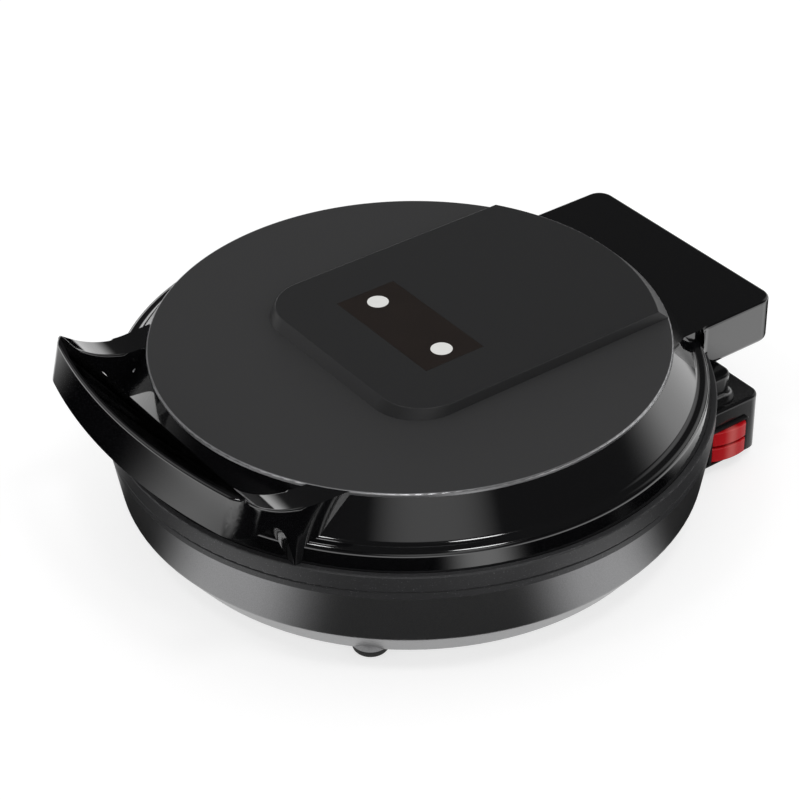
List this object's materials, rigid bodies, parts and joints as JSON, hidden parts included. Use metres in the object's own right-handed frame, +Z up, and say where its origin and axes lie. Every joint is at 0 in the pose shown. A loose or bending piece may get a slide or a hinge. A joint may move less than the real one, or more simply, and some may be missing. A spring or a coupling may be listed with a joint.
{
  "type": "electric pancake pan",
  "caption": "Round tabletop cooker with two heated plates, a floating hinged lid with a front grip, a raised console with two lamp windows, a rear housing, a rocker switch and a power inlet.",
  "frame": {"origin": "on the plane that the feet stand on, under the middle of the whole, 8.4 mm behind the axis of the round plates", "axes": "+Z up, +Y towards the hinge, -Y towards the grip, +X towards the switch"},
  "size_m": [0.353, 0.4052, 0.1265],
  "materials": {
    "base_satin": "satin",
    "housing_black": "gloss",
    "gloss_black": "gloss",
    "matt_disc": "matt coat",
    "console_black": "satin",
    "label_dark": "satin",
    "window_white": "gloss",
    "lamp_glass": "gloss",
    "plate_coating": "satin non-stick coat",
    "element_sheath": "dull",
    "shield_sheet": "mill",
    "bottom_sheet": "satin",
    "rocker_red": "gloss",
    "switch_black": "satin",
    "ceramic": "matt",
    "fuse_body": "matt",
    "contact_brass": "satin",
    "bracket_steel": "zinc plated",
    "pin_steel": "bright",
    "foot_rubber": "matt",
    "screw_steel": "zinc plated"
  },
  "bodies": {
    "base": {"base_shell": "base_satin", "foot_rear_right": "foot_rubber", "foot_rear_left": "foot_rubber", "foot_front_left": "foot_rubber", "foot_front_right": "foot_rubber", "foot_screws": "screw_steel", "base_bottom_cover": "bottom_sheet", "cover_screws": "screw_steel", "lower_baking_plate": "plate_coating", "lower_plate_screws": "screw_steel", "lower_heating_element": "element_sheath", "lower_heat_shield": "shield_sheet", "lower_shield_studs": "pin_steel", "lower_thermostat": "ceramic", "lower_thermal_fuse": "fuse_body", "rear_housing": "housing_black", "housing_screws": "screw_steel", "rear_housing_cover": "housing_black", "housing_cover_screws": "screw_steel", "base_hinge_bracket": "bracket_steel", "base_hinge_screws": "screw_steel", "switch_body": "switch_black", "switch_terminals": "contact_brass", "power_inlet": "switch_black", "inlet_blades": "contact_brass", "terminal_block": "ceramic"},
    "hinge_carriage": {"hinge_pin": "pin_steel", "pin_clips": "pin_steel"},
    "lid": {"lid_shell": "gloss_black", "lid_disc": "matt_disc", "console_cover": "console_black", "label_panel": "label_dark", "left_window_lens": "window_white", "right_window_lens": "window_white", "left_lamp": "lamp_glass", "right_lamp": "lamp_glass", "grip": "gloss_black", "grip_screws": "screw_steel", "hinge_cover": "gloss_black", "hinge_cover_screws": "screw_steel", "lid_hinge_bracket": "bracket_steel", "lid_hinge_screws": "screw_steel", "upper_baking_plate": "plate_coating", "upper_plate_screws": "screw_steel", "upper_heating_element": "element_sheath", "upper_heat_shield": "shield_sheet", "upper_shield_studs": "pin_steel", "upper_thermostat": "ceramic", "upper_thermal_fuse": "fuse_body"},
    "upper_rocker": {"upper_rocker": "rocker_red"},
    "lower_rocker": {"lower_rocker": "rocker_red"}
  },
  "joints": [
    {"name": "lid_float", "type": "slide", "parent": "base", "child": "hinge_carriage", "axis": [0, 0, 1], "range_m": [0, 0.01]},
    {"name": "lid_tilt", "type": "hinge", "parent": "hinge_carriage", "child": "lid", "pos_m": [0, 0.1716, 0.051], "axis": [-1, 0, 0], "range_deg": [0, 95]},
    {"name": "upper_rocker_tilt", "type": "hinge", "parent": "base", "child": "upper_rocker", "pos_m": [0.097, 0.1511, 0.0252], "axis": [0, 0, 1], "range_deg": [0, 14]},
    {"name": "lower_rocker_tilt", "type": "hinge", "parent": "base", "child": "lower_rocker", "pos_m": [0.097, 0.1511, 0.0138], "axis": [0, 0, 1], "range_deg": [0, 14]}
  ]
}
